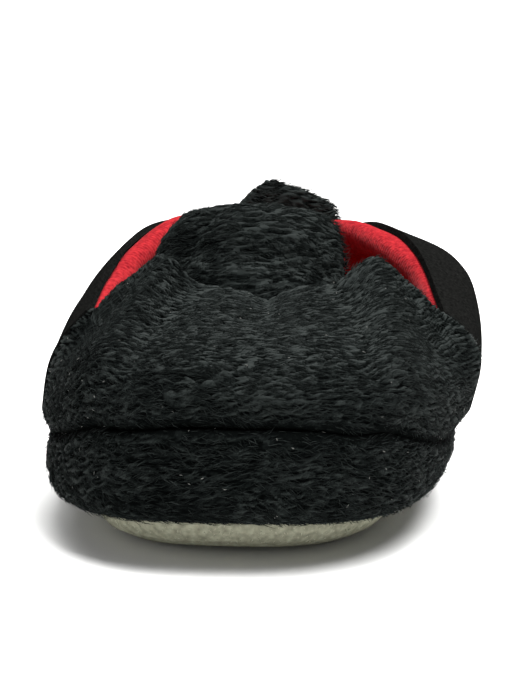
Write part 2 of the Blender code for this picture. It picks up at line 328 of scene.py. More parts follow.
def station(name, angle):
    """Read one column of the station table at angles round from the toe."""
    return read(STATIONS, "degrees", name, np.degrees(np.abs(angle)))


def outline(angle, inset, length, ball_width, heel_width):
    """Plan of the last at angles round from the toe, drawn in by an inset."""
    exponent = 2 / OUTLINE_POWER
    y = -(length / 2 - inset) * signed_power(np.cos(angle), exponent)
    towards_heel = ease(-0.25, 0.80, y / (length / 2 - inset))
    half_width = (ball_width + (heel_width - ball_width) * towards_heel) / 2 - inset
    return half_width * signed_power(np.sin(angle), exponent), y


def body_outline(angle, inset):
    """Plan of the body drawn in by an inset."""
    return outline(angle, inset, BODY_LENGTH, BALL_WIDTH, HEEL_WIDTH)


def sole_outline(angle, inset):
    """Plan of the sole drawn in by an inset."""
    return outline(angle, inset, SOLE_LENGTH, SOLE_BALL_WIDTH, SOLE_HEEL_WIDTH)


def toe_lift(y):
    """Height that the toe spring adds at places along the shoe."""
    reach = SPRING_START + SOLE_LENGTH / 2
    return TOE_SPRING * (np.maximum(SPRING_START - y, 0) / reach) ** 2


def base_point(angle):
    """Points of the edge where upper and sole meet."""
    x, y = sole_outline(angle, 0.0)
    return np.stack([x, y, SOLE_EDGE_HEIGHT + toe_lift(y)], axis=-1)


def girth_point(angle):
    """Points of the fullest line round the body."""
    x, y = body_outline(angle, 0.0)
    return np.stack([x, y, station("girth_height", angle)], axis=-1)


def puff(angle):
    """Share of the puff of the wall on the +X side."""
    return ease(NOTCH_ANGLE - 0.40, NOTCH_ANGLE + 0.40, angle) * (1 - ease(2.1, 2.9, angle))


def collar_point(angle):
    """Points of the top edge: the vamp's rear edge in front of the notches, the quarters behind."""
    x, y = body_outline(angle, station("collar_inset", angle) + PUFF_INSET * puff(angle))
    behind = np.stack([x + station("collar_side", angle), y, station("collar_height", angle)], axis=-1)
    notch_x, notch_y = body_outline(NOTCH_ANGLE, station("collar_inset", NOTCH_ANGLE))
    share = np.minimum(np.abs(angle) / NOTCH_ANGLE, 1)
    across = 0.4 * np.sin(share * math.pi / 2) + 0.6 * share
    front_x = np.sign(angle) * notch_x * across + station("collar_side", NOTCH_ANGLE)
    front_x = front_x + THROAT_SHIFT * (1 - across * across)
    set_back = read(THROAT_ROWS, "across", "set_back", across) - THROAT_ROWS["set_back"][-1]
    front = np.stack([front_x, notch_y + set_back, read(THROAT_ROWS, "across", "height", across)], axis=-1)
    return np.where(column(np.abs(angle) > NOTCH_ANGLE), behind, front)


def bezier(points, share):
    """Points of cubic curves, each through four control points."""
    rest = 1 - share
    weights = (rest ** 3, 3 * rest ** 2 * share, 3 * rest * share ** 2, share ** 3)
    return sum(point * column(weight) for point, weight in zip(points, weights))


def smooth_wall(angle, rise):
    """Outside of the upper without its seam: rise 0 at the sole, 1 at the fullest line, 2 at the top edge."""
    base = base_point(angle)
    girth = girth_point(angle)
    collar = collar_point(angle)
    outward = girth - base
    climb = column(outward[..., 2]) * UP
    outward = outward - climb
    leaving = base + outward * FLARE_REACH + climb * FLARE_CLIMB
    lower = bezier((base, leaving, girth - climb * GIRTH_DROP, girth), np.clip(rise, 0, 1))
    lean = column(np.radians(station("collar_lean", angle) - PUFF_LEAN * puff(angle)))
    inward = collar - girth
    reach = column(np.linalg.norm(inward, axis=-1) * station("reach_share", angle))
    climb_share = station("climb_share", angle) + PUFF_CLIMB * puff(angle)
    lift = column((collar - girth)[..., 2] * climb_share) * UP
    arrival = unit(inward * np.array([1, 1, 0])) * np.cos(lean) + UP * np.sin(lean)
    upper = bezier((girth, girth + lift, collar - arrival * reach, collar), np.clip(rise - 1, 0, 1))
    return np.where(column(rise < 1), lower, upper)


def wall_directions(angle, rise):
    """Directions round the wall, up along it and out of it."""
    step = 0.002
    low = np.clip(rise - step, 0, 2)
    high = np.clip(rise + step, 0, 2)
    along = unit(smooth_wall(angle, high) - smooth_wall(angle, low))
    middle = (low + high) / 2
    around = unit(smooth_wall(angle + step, middle) - smooth_wall(angle - step, middle))
    return around, along, unit(np.cross(around, along))


def seam_rise(angle):
    """Rise at which the seam runs."""
    return 1 + station("seam_share", angle)


def vamp_swell(angle, rise):
    """How far the vamp swells over the seam."""
    front = 1 - ease(NOTCH_ANGLE - 0.06, NOTCH_ANGLE + 0.50, np.abs(angle))
    return VAMP_SWELL * front * ease(0.0, 0.12, rise - seam_rise(angle))


def creases(angle, rise):
    """How far the creases press the wall in, each a soft trough or ridge along a straight run."""
    total = np.zeros(np.shape(angle))
    place = np.stack([np.degrees(angle) * DEGREE_LENGTH, rise * RISE_LENGTH], axis=-1)
    for row in CREASES:
        start = np.array([row["degrees"] * DEGREE_LENGTH, row["rise"] * RISE_LENGTH])
        run = np.array([row["end_degrees"] * DEGREE_LENGTH, row["end_rise"] * RISE_LENGTH]) - start
        share = np.clip(((place - start) @ run) / (run @ run), 0, 1)
        away = np.linalg.norm(place - start - column(share) * run, axis=-1)
        total += row["depth"] * (1 - 0.6 * share) * np.exp(-(away / row["width"]) ** 2)
    return total


def wall(angle, rise, sink):
    """The wall at a depth below its outside, with its creases and the groove of its seam."""
    soft = 1 - SEAM_SOFTENING * ease(-0.1, 0.6, angle) * (1 - ease(1.4, 1.8, angle))
    groove = SEAM_DEPTH * soft * np.exp(-((rise - seam_rise(angle)) / SEAM_REACH) ** 2)
    out = wall_directions(angle, rise)[2]
    lift = vamp_swell(angle, rise) - groove - creases(angle, rise) - sink
    return smooth_wall(angle, rise) + out * column(lift)


def wrapped(angle):
    """Angles brought to between minus and plus half a turn."""
    return (angle + math.pi) % (2 * math.pi) - math.pi


# Ways to make materials and meshes
def plain_material(name, colour, roughness, sheen, shine):
    """A material with plain values."""
    material = bpy.data.materials.new(name)
    material.use_nodes = True
    shader = material.node_tree.nodes["Principled BSDF"]
    shader.inputs["Base Color"].default_value = (*colour, 1)
    shader.inputs["Roughness"].default_value = roughness
    shader.inputs["Specular IOR Level"].default_value = shine
    shader.inputs["Sheen Weight"].default_value = sheen
    shader.inputs["Sheen Roughness"].default_value = 0.4
    return material


def cloth_material(name, colour, other, scale, roughness, bump, sheen, spread):
    """A cloth material with two mixed colours and a fine bump, both from noise, mixed over a spread."""
    material = plain_material(name, colour, roughness, sheen, 0.0)
    nodes = material.node_tree.nodes
    links = material.node_tree.links
    shader = nodes["Principled BSDF"]
    place = nodes.new("ShaderNodeTexCoord")
    noise = nodes.new("ShaderNodeTexNoise")
    noise.inputs["Scale"].default_value = scale
    noise.inputs["Detail"].default_value = 4.0
    links.new(place.outputs["Object"], noise.inputs["Vector"])
    share = nodes.new("ShaderNodeMapRange")
    share.inputs["From Min"].default_value = 0.5 - spread
    share.inputs["From Max"].default_value = 0.5 + spread
    links.new(noise.outputs["Fac"], share.inputs["Value"])
    mix = nodes.new("ShaderNodeMix")
    mix.data_type = "RGBA"
    mix.inputs["A"].default_value = (*colour, 1)
    mix.inputs["B"].default_value = (*other, 1)
    links.new(share.outputs["Result"], mix.inputs["Factor"])
    links.new(mix.outputs["Result"], shader.inputs["Base Color"])
    relief = nodes.new("ShaderNodeBump")
    relief.inputs["Strength"].default_value = bump
    relief.inputs["Distance"].default_value = 0.0004
    links.new(noise.outputs["Fac"], relief.inputs["Height"])
    links.new(relief.outputs["Normal"], shader.inputs["Normal"])
    return material


def placed(points):
    """Points carried to one side by the lean of the body, and brought over the origin."""
    lean = BODY_LEAN * np.tanh((points[:, 2] - LEAN_HEIGHT) / LEAN_REACH)
    return points + column(lean) * np.array([1.0, 0.0, 0.0]) + CENTRE_SHIFT


def volume(points, faces):
    """Six times the volume that faces close in, below zero where they face inwards."""
    first, *others = (points[faces[:, corner]] for corner in range(faces.shape[1]))
    return sum(np.sum(first * np.cross(others[step], others[step + 1])) for step in range(len(others) - 1))


def add_piece(name, points, faces, materials, slots=None):
    """Make a mesh object from point and face arrays, facing out, and hang it on the part."""
    if volume(points, faces) < 0:
        faces = faces[:, ::-1]
    mesh = bpy.data.meshes.new(name)
    size = faces.shape[1]
    mesh.vertices.add(len(points))
    mesh.vertices.foreach_set("co", np.ascontiguousarray(placed(points), dtype=np.float32).ravel())
    mesh.loops.add(faces.size)
    mesh.loops.foreach_set("vertex_index", np.ascontiguousarray(faces, dtype=np.int32).ravel())
    mesh.polygons.add(len(faces))
    mesh.polygons.foreach_set("loop_start", np.arange(0, faces.size, size, dtype=np.int32))
    mesh.polygons.foreach_set("use_smooth", np.ones(len(faces), dtype=bool))
    if slots is not None:
        mesh.polygons.foreach_set("material_index", slots.astype(np.int32))
    mesh.update(calc_edges=True)
    for material in materials:
        mesh.materials.append(material)
    piece = bpy.data.objects.new(name, mesh)
    bpy.context.scene.collection.objects.link(piece)
    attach(piece, "root")
    return piece


def grid_faces(index, wrap):
    """Quads over a grid of point numbers."""
    right = np.roll(index, -1, axis=1) if wrap else index[:, 1:]
    left = index if wrap else index[:, :-1]
    corners = (left[:-1], right[:-1], right[1:], left[1:])
    return np.stack([corner.ravel() for corner in corners], axis=-1)


def halves(quads):
    """Quads split into triangles."""
    return np.concatenate([quads[:, [0, 1, 2]], quads[:, [0, 2, 3]]])


def add_shell(name, outer, inner, wrap, material):
    """A closed shell between an outer and an inner grid."""
    index = np.arange(outer.shape[0] * outer.shape[1]).reshape(outer.shape[:2])
    within = index + index.size
    parts = [
        grid_faces(index, wrap),
        grid_faces(within, wrap)[:, ::-1],
        grid_faces(np.stack([within[0], index[0]]), wrap),
        grid_faces(np.stack([index[-1], within[-1]]), wrap),
    ]
    if not wrap:
        parts.append(grid_faces(np.stack([within[:, 0], index[:, 0]], axis=1), False))
        parts.append(grid_faces(np.stack([index[:, -1], within[:, -1]], axis=1), False))
    points = np.concatenate([outer.reshape(-1, 3), inner.reshape(-1, 3)])
    piece = add_piece(name, points, np.concatenate(parts), [material])
    piece.data.set_sharp_from_angle(angle=math.radians(60))
    return piece


def loft(grid):
    """Points and faces of a closed loft of rings, its two ends closed to their middles."""
    rows, count = grid.shape[:2]
    index = np.arange(rows * count).reshape(rows, count)
    quads = grid_faces(index, True)
    middles = np.stack([grid[0].mean(axis=0), grid[-1].mean(axis=0)])
    first = np.full(count, rows * count)
    ends = np.concatenate([
        np.stack([np.roll(index[0], -1), index[0], first], axis=-1),
        np.stack([index[-1], np.roll(index[-1], -1), first + 1], axis=-1),
    ])
    return np.concatenate([grid.reshape(-1, 3), middles]), np.concatenate([halves(quads), ends])


def add_loft(name, grid, material):
    """A closed loft of rings in one material."""
    points, faces = loft(grid)
    return add_piece(name, points, faces, [material])


# Plush: lying locks raised on its cloth, and fine hairs over them
def distances(grid, axis):
    """Distance run along the rows or columns of a grid."""
    run = np.cumsum(np.linalg.norm(np.diff(grid, axis=axis), axis=-1), axis=axis)
    margin = [(0, 0), (0, 0)]
    margin[axis] = (1, 0)
    return np.pad(run, margin)


def closed(values, wrap):
    """A grid with its first column repeated at the end where it closes on itself."""
    return np.concatenate([values, values[:, :1]], axis=1) if wrap else values


def normals(grid, wrap):
    """Directions out of a grid."""
    wide = np.concatenate([grid[:, -1:], grid, grid[:, :1]], axis=1) if wrap else grid
    around = np.gradient(wide, axis=1)
    if wrap:
        around = around[:, 1:-1]
    return unit(np.cross(around, np.gradient(grid, axis=0)))


def waves(points, length, seed):
    """Smooth noise between about -1 and 1, with a given wave length."""
    random = np.random.default_rng(seed)
    total = np.zeros(points.shape[:-1])
    for _ in range(5):
        direction = unit(random.normal(size=3))
        turn = points @ direction * 2 * math.pi / (length * random.uniform(0.7, 1.5))
        total += np.sin(turn + random.uniform(0, 2 * math.pi))
    return total / 2.2


def lock_relief(along, across, cells, seed):
    """Height from 0 to 1 of lying locks, at places counted in locks along and across their lay."""
    random = np.random.default_rng(seed)
    rows = 61
    shift, drop, base, slant = (random.uniform(-0.5, 0.5, (cells, rows)) for _ in range(4))
    first_cell = np.floor(along).astype(int)
    first_row = np.floor(across).astype(int)
    height = np.zeros(along.shape)
    for step in (-2, -1, 0, 1):
        for stride in (-2, -1, 0, 1, 2):
            cell = first_cell + step
            row = first_row + stride
            key = (cell % cells, row % rows)
            past = along - (cell + 0.5 + 0.8 * shift[key] + 0.5 * (row % 2))
            beside = across - (row + 0.5 + 0.8 * drop[key]) - 1.6 * slant[key] * past
            dome = np.maximum(1 - (past / 0.85) ** 2 - (beside / 0.62) ** 2, 0)
            body = ease(0.0, 0.60, dome)
            height = np.maximum(height, body * (0.45 + 0.50 * base[key] + 0.15 * past) + 0.30 * dome)
    return np.clip(height, 0, 1)


def raised(grid, wrap, seed, strength=1.0):
    """A grid with lying locks raised on it, and the height of their relief."""
    around = distances(closed(grid, wrap), 1)
    if wrap:
        cells = int(round(np.median(around[:, -1]) / LOCK_LENGTH))
        along = around[:, :-1] / around[:, -1:] * cells
    else:
        cells = 89
        along = (around - around[:, [around.shape[1] // 2]]) / LOCK_LENGTH
    along = along + 0.25 * waves(grid, 0.009, seed)
    across = distances(grid, 0) / LOCK_WIDTH + 0.9 * waves(grid, 0.010, seed + 1)
    across = across + 0.4 * waves(grid, 0.0035, seed + 2)
    height = lock_relief(along, across, cells, seed) * strength
    return grid + normals(grid, wrap) * column(height * LOCK_HEIGHT), height


def relief_slots(points, faces, height, shade, seed):
    """Tone of each face by its relief height, painted shade between the locks, shifted by a broad painted
    shade or light.
    """
    random = np.random.default_rng(seed)
    tone = height + 0.09 * waves(points, 0.020, seed + 3) + 0.06 * waves(points, 0.007, seed + 4)
    level = tone[faces].mean(axis=1) + random.normal(0, TONE_STRAY, len(faces))
    bounds = np.quantile(level, TONE_SHARES)
    return np.searchsorted(bounds, level - shade[faces].mean(axis=1))


def stitch(coarse, fine):
    """Triangles between a coarse and a fine run of point numbers."""
    step = np.arange(len(fine) - 1)
    partner = step * (len(coarse) - 1) // (len(fine) - 1)
    turn = np.searchsorted(partner, np.arange(1, len(coarse)))
    return np.concatenate([
        np.stack([coarse[partner], fine[:-1], fine[1:]], axis=-1),
        np.stack([coarse[:-1], fine[turn], coarse[1:]], axis=-1),
    ])


def add_plush_panel(name, grid, inner, wrap, seed, strength, shade):
    """A closed panel of plush: raised locks outside, a coarse grid of like columns inside."""
    outer, height = raised(grid, wrap, seed, strength)
    index = np.arange(height.size).reshape(height.shape)
    within = height.size + np.arange(inner.shape[0] * inner.shape[1]).reshape(inner.shape[:2])
    face = halves(grid_faces(index, wrap))
    parts = [
        halves(grid_faces(within, wrap))[:, ::-1],
        halves(grid_faces(np.stack([within[0], index[0]]), wrap)),
        halves(grid_faces(np.stack([index[-1], within[-1]]), wrap)),
    ]
    if not wrap:
        parts.append(stitch(within[:, 0], index[:, 0]))
        parts.append(stitch(within[:, -1], index[:, -1])[:, ::-1])
    hidden = np.concatenate(parts)
    slots = relief_slots(outer.reshape(-1, 3), face, height.ravel(), shade.ravel(), seed)
    slots = np.concatenate([slots, np.zeros(len(hidden))])
    points = np.concatenate([outer.reshape(-1, 3), inner.reshape(-1, 3)])
    piece = add_piece(name, points, np.concatenate([face, hidden]), PLUSH, slots)
    return piece, height


def scatter(grid, wrap, count, random, weight, fields):
    """Roots spread over a grid: places, directions round, along and out, and fields read there."""
    points = closed(grid, wrap)
    corners = (points[:-1, :-1], points[:-1, 1:], points[1:, 1:], points[1:, :-1])
    area = np.linalg.norm(np.cross(corners[2] - corners[0], corners[3] - corners[1]), axis=-1)
    density = closed(weight, wrap)
    area = area * (density[:-1, :-1] + density[1:, 1:]) / 2
    cells = random.choice(area.size, count, p=area.ravel() / area.sum())
    row, place = np.unravel_index(cells, area.shape)
    over = random.random(count)
    up = random.random(count)

    def blend(values):
        """Read a field at the roots."""
        full = closed(values, wrap)
        shares = ((1 - over) * (1 - up), over * (1 - up), over * up, (1 - over) * up)
        picks = (full[row, place], full[row, place + 1], full[row + 1, place + 1], full[row + 1, place])
        if full.ndim == 3:
            shares = [column(share) for share in shares]
        return sum(pick * share for pick, share in zip(picks, shares))

    low = points[row, place + 1] - points[row, place]
    high = points[row + 1, place + 1] - points[row + 1, place]
    around = unit(low * column(1 - up) + high * column(up))
    left = points[row + 1, place] - points[row, place]
    right = points[row + 1, place + 1] - points[row, place + 1]
    along = unit(left * column(1 - over) + right * column(over))
    out = unit(np.cross(around, along))
    return blend(grid), around, unit(np.cross(out, around)), out, [blend(field) for field in fields]


def add_hairs(name, roots, flow, out, length, lift, width, materials, random):
    """Curved hairs, thin at root and tip, as one joined mesh of small closed bodies."""
    count = len(roots)
    base = roots - out * HAIR_ROOT
    low_lift = lift * random.uniform(0.9, 1.6, count)
    high_lift = lift * random.uniform(-0.6, 0.6, count)
    side = unit(np.cross(out, flow))
    curl = column(random.normal(0, HAIR_CURL, count))
    rising = flow * column(np.cos(low_lift)) + out * column(np.sin(low_lift))
    middle = base + column(length * HAIR_BEND) * rising
    bent = (flow + side * curl) * column(np.cos(high_lift)) + out * column(np.sin(high_lift))
    tip = middle + column(length * (1 - HAIR_BEND)) * bent
    across = side * column(width)
    up = out * column(width * 0.8)
    ring = [middle + up, middle - across - up * 0.5, middle + across - up * 0.5]
    points = np.stack([base, *ring, tip], axis=1).reshape(-1, 3)
    pattern = np.array([(0, 1, 2), (0, 2, 3), (0, 3, 1), (4, 2, 1), (4, 3, 2), (4, 1, 3)])
    faces = (pattern[None] + 5 * np.arange(count)[:, None, None]).reshape(-1, 3)
    slots = np.clip(np.round(random.normal(*HAIR_TONE, count)), 0, len(materials) - 1)
    return add_piece(name, points, faces, materials, np.repeat(slots, len(pattern)))


def any_way(around, along, random):
    """Directions along a surface, each turned any way."""
    turn = random.uniform(0, 2 * math.pi, len(around))
    return around * column(np.cos(turn)) + along * column(np.sin(turn))


# Materials of the shoe
# Tones of the plush: hairs take them at random, panels and flaps by relief height as painted shade between
# the locks
PLUSH = [
    plain_material("plush deep", (0.0018, 0.0024, 0.0023), roughness=0.90, sheen=0.0, shine=0.01),
    plain_material("plush dark", (0.0042, 0.0055, 0.0052), roughness=0.85, sheen=0.0, shine=0.02),
    plain_material("plush mid", (0.0085, 0.0108, 0.0102), roughness=0.80, sheen=0.0, shine=0.04),
    plain_material("plush light", (0.0150, 0.0184, 0.0174), roughness=0.75, sheen=0.0, shine=0.06),
]
LINT = plain_material("pale lint", (0.16, 0.16, 0.15), roughness=0.9, sheen=0.0, shine=0.1)
QUARTER_CLOTH = cloth_material(
    "quarter velour", (0.0015, 0.0016, 0.0015), (0.0100, 0.0101, 0.0095),
    scale=2000, roughness=1.0, bump=0.9, sheen=0.0, spread=0.24,
)
RED_RIB = cloth_material(
    "red rib", (0.15, 0.006, 0.010), (0.34, 0.019, 0.023),
    scale=1200, roughness=0.85, bump=0.6, sheen=0.05, spread=0.22,
)
LINING = cloth_material(
    "red lining", (0.20, 0.007, 0.011), (0.38, 0.016, 0.021),
    scale=1100, roughness=0.90, bump=0.7, sheen=0.05, spread=0.22,
)
SOLE_CLOTH = cloth_material(
    "sole cloth", (0.14, 0.14, 0.10), (0.48, 0.48, 0.36),
    scale=900, roughness=0.95, bump=0.8, sheen=0.02, spread=0.4,
)
NAP = [
    plain_material("sole nap dark", (0.15, 0.15, 0.105), roughness=0.95, sheen=0.02, shine=0.1),
    plain_material("sole nap mid", (0.27, 0.27, 0.20), roughness=0.95, sheen=0.02, shine=0.1),
    plain_material("sole nap light", (0.46, 0.46, 0.35), roughness=0.95, sheen=0.02, shine=0.1),
]


# Upper: the backing of its plush, the smooth quarters and the lining
def even_rises(angles, start, end, rows):
    """Rises between two edges of a panel, evenly spaced along the wall at each angle."""
    share = np.linspace(0, 1, 160)[:, None]
    rise = start(angles) + (end(angles) - start(angles)) * share
    run = distances(smooth_wall(np.broadcast_to(wrapped(angles), rise.shape), rise), 0)
    evened = [
        np.interp(np.linspace(0, length[-1], rows), length, level)
        for length, level in zip(run.T, rise.T)
    ]
    return np.stack(evened, axis=1)


def panel(angles, start, end, sink, rows, tuck=0.0):
    """A panel of the wall between two edges, tucked in past the seam, with its angles and rises."""
    rise = even_rises(angles, start, end, rows)
    angle = np.broadcast_to(angles, rise.shape)
    past_seam = ease(-0.02, SEAM_OVERLAP, rise - seam_rise(wrapped(angle)))
    return wall(wrapped(angle), rise, sink + tuck * past_seam), angle, rise


def rolled_edge(angles, rise, sink, radius, steps):
    """Rows that carry a panel over its top edge and down inside."""
    top = wall(wrapped(angles), np.full(len(angles), rise), sink)
    _, along, out = wall_directions(wrapped(angles), np.full(len(angles), rise))
    rows = []
    for step in range(1, steps + 1):
        turn = math.pi * step / steps
        rows.append(top + along * radius * math.sin(turn) - out * radius * (1 - math.cos(turn)))
    return np.stack(rows)


ROUND = np.linspace(-math.pi, math.pi, ROUND_COLUMNS, endpoint=False)
FRONT = np.linspace(-NOTCH_ANGLE, NOTCH_ANGLE, FRONT_COLUMNS)
BEHIND = np.linspace(NOTCH_ANGLE, 2 * math.pi - NOTCH_ANGLE, BEHIND_COLUMNS)
LINED = np.linspace(-math.pi, math.pi, LINED_COLUMNS, endpoint=False)


def level_edge(rise):
    """An edge at one rise all round."""
    return lambda angles: np.full(len(angles), rise)


def seam_line(angles):
    """Rise of the seam."""
    return seam_rise(wrapped(angles))


def band_top(angles):
    """Rise of the band's upper edge, tucked a little past the seam."""
    return seam_rise(wrapped(angles)) + SEAM_OVERLAP


sole_edge = level_edge(0.0)
top_edge = level_edge(2.0)
band, band_angle, band_rise = panel(ROUND, sole_edge, band_top, PILE_SINK, BAND_ROWS, SEAM_TUCK)
band_inner = panel(ROUND, sole_edge, band_top, PILE_SINK + BACKING, BAND_INNER_ROWS, SEAM_TUCK)[0]
vamp, vamp_angle, vamp_rise = panel(FRONT, seam_line, top_edge, PILE_SINK, VAMP_ROWS)
vamp_inner = panel(FRONT, seam_line, top_edge, PILE_SINK + BACKING, VAMP_INNER_ROWS)[0]
vamp = np.concatenate([vamp, rolled_edge(FRONT, 2.0, PILE_SINK, ROLL_RADIUS, ROLL_ROWS)])
vamp_angle = np.concatenate([vamp_angle, np.repeat(vamp_angle[-1:], ROLL_ROWS, axis=0)])
vamp_rise = np.concatenate([vamp_rise, np.repeat(vamp_rise[-1:], ROLL_ROWS, axis=0)])
vamp_row = np.broadcast_to(np.arange(len(vamp))[:, None], vamp.shape[:2])
quarter = panel(BEHIND, seam_line, top_edge, QUARTER_SINK, QUARTER_ROWS)[0]
quarter_inner = panel(BEHIND, seam_line, top_edge, QUARTER_SINK + QUARTER_THICKNESS, QUARTER_ROWS)[0]
lining_rise = even_rises(LINED, level_edge(LINING_FOOT), level_edge(LINING_TOP), LINING_ROWS)
lining_angle = np.broadcast_to(LINED, lining_rise.shape)
lining_out = wall_directions(lining_angle, lining_rise)[2]
lining_dip = np.exp(-((lining_rise - seam_rise(lining_angle)) / LINING_DIP_REACH) ** 2)
lining_sink = LINING_SINK + LINING_DIP * lining_dip
lining_outer = smooth_wall(lining_angle, lining_rise) - lining_out * column(lining_sink)
lining_inner = lining_outer - lining_out * LINING_THICKNESS


def beside_seam(angle, rise):
    """How much of the pile stands beside the seam, which presses it down."""
    return SEAM_PILE + (1 - SEAM_PILE) * ease(0.0, 0.05, np.abs(rise - seam_rise(wrapped(angle))))


band_calm = beside_seam(band_angle, band_rise)
vamp_calm = beside_seam(vamp_angle, vamp_rise)
# Painted shade: the whole band of plush below the seam is made darker than the vamp
band_shade = np.full(band_rise.shape, BAND_SHADE)
# Painted light: the upper vamp is lighter towards its middle and +X side, where the key light falls
vamp_shade = VAMP_SHADE - VAMP_LIGHT * ease(-0.9, 0.1, vamp_angle) * ease(1.2, 1.5, vamp_rise)
band_plush, band_height = add_plush_panel(
    "band_plush", band, band_inner,
    wrap=True, seed=41, strength=band_calm, shade=band_shade,
)
vamp_plush, vamp_height = add_plush_panel(
    "vamp_plush", vamp, vamp_inner,
    wrap=False, seed=45, strength=vamp_calm, shade=vamp_shade,
)
quarters = add_shell("quarters", quarter, quarter_inner, False, QUARTER_CLOTH)
lining = add_shell("lining", lining_outer, lining_inner, True, LINING)
for piece in (band_plush, vamp_plush, quarters, lining):
    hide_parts("upper")


def lay(around, along, roots, droop, seed):
    """Direction in which pile lies: round the shoe, turned down by a droop and waved."""
    turn = droop + LAY_WAVE * waves(roots, 0.013, seed) + LAY_WAVE * waves(roots, 0.0045, seed + 1)
    return around * column(np.cos(turn)) - along * column(np.sin(turn))


def add_wall_hairs(name, grid, wrap, angle, rise, height, count, seed, weight):
    """Hairs over a panel of the wall, shorter beside its seams."""
    random = np.random.default_rng(seed)
    fields = (rise, np.abs(wrapped(angle)), height)
    roots, around, along, out, (level, turn, relief) = scatter(grid, wrap, count, random, weight, fields)
    roots = roots + out * column(relief * LOCK_HEIGHT)
    seam = 1 + np.interp(np.degrees(turn), STATIONS["degrees"], STATIONS["seam_share"])
    droop = HAIR_DROOP + FOOT_DROOP * (1 - ease(0.0, 0.75, level)) + random.normal(0, HAIR_STRAY, count)
    flow = lay(around, along, roots, droop, seed)
    near = ease(0.0, 0.06, np.abs(level - seam))
    side = 1.0 if wrap else ease(0.0, 0.10, NOTCH_ANGLE - turn) * (1 - 0.5 * ease(1.94, 2.0, level))
    length = random.uniform(*HAIR_LENGTH, count) * (0.7 + 0.3 * near) * (0.6 + 0.4 * side)
    lift = np.radians(random.uniform(*HAIR_LIFT, count)) * (0.6 + 0.4 * near) * (0.4 + 0.6 * side)
    width = random.uniform(*HAIR_HALF_WIDTH, count)
    piece = add_hairs(name, roots, flow, out, length, lift, width, PLUSH, random)


vamp_shown = np.where((vamp_row >= VAMP_ROWS) & (np.abs(vamp_angle) > 0.92 * NOTCH_ANGLE), 0.0, 1.0)
band_shown = np.ones(band_rise.shape)
add_wall_hairs(
    "vamp_hairs", vamp, False, vamp_angle, vamp_rise, vamp_height,
    count=VAMP_HAIRS, seed=11, weight=vamp_shown,
)
add_wall_hairs(
    "band_hairs", band, True, band_angle, band_rise, band_height,
    count=BAND_HAIRS, seed=12, weight=band_shown,
)


def add_lint(name, grid, wrap, height, count, seed):
    """A few pale loose fibres caught in the pile of a panel."""
    random = np.random.default_rng(seed)
    weight = np.ones(height.shape)
    roots, around, along, out, (relief,) = scatter(grid, wrap, count, random, weight, (height,))
    roots = roots + out * column(relief * LOCK_HEIGHT + LINT_RAISE)
    flow = any_way(around, along, random)
    length = random.uniform(*LINT_LENGTH, count)
    lift = np.radians(random.uniform(*LINT_LIFT, count))
    width = random.uniform(*LINT_HALF_WIDTH, count)
    piece = add_hairs(name, roots, flow, out, length, lift, width, [LINT], random)


add_lint("vamp_lint", vamp, False, vamp_height, VAMP_LINT, seed=51)
add_lint("band_lint", band, True, band_height, BAND_LINT, seed=52)


# Padded flaps: tongue and heel tab
def pad_section(count, power):
    """Shares across and through a padded flap, round its section."""
    turn = np.linspace(0, 2 * math.pi, count, endpoint=False)
    return signed_power(np.cos(turn), 2 / power), signed_power(np.sin(turn), 2 / power)


def tongue_grid(sink, rows, count):
    """Rings of the tongue, drawn in by a sink."""
    place = np.linspace(0, 10, rows)
    y, z, half_width, thick, sag = (
        read(TONGUE_ROWS, "place", name, place) for name in ("y", "z", "half_width", "thickness_share", "sag")
    )
    line = np.stack([np.zeros(rows), y, z], axis=-1)
    along = unit(np.gradient(line, axis=0))
    face = np.stack([np.zeros(rows), -along[:, 2], along[:, 1]], axis=-1)
    across, through = (share[::-1] for share in pad_section(count, TONGUE_POWER))
    depth = np.maximum(thick * TONGUE_THICKNESS / 2 - sink, LEAST_DEPTH)
    level = place[:, None]
    side = across[None]
    fold = TONGUE_FOLD * np.exp(-((level - TONGUE_FOLD_PLACE + 0.5 * side) / 0.5) ** 2)
    fold = fold * (1 - 0.6 * side ** 2)
    hollow = TONGUE_HOLLOW * np.exp(-((side + 0.62 - 0.10 * (level - 6.5)) / 0.14) ** 2)
    hollow = hollow * ease(5.0, 6.0, level) * (1 - ease(7.6, 8.6, level))
    press = (fold + hollow) * np.maximum(through[None], 0)
    lift = through[None] * depth[:, None] - sag[:, None] * side ** 2 - press
    grid = line[:, None] + face[:, None] * column(lift)
    grid[..., 0] += TONGUE_CENTRE + (half_width[:, None] - sink) * side
    grid[..., 0] += TONGUE_CORNER * np.minimum(side, 0) ** 2 * ease(6.0, 8.5, level)
    return grid, np.broadcast_to(level, grid.shape[:2]), np.broadcast_to(through, grid.shape[:2])


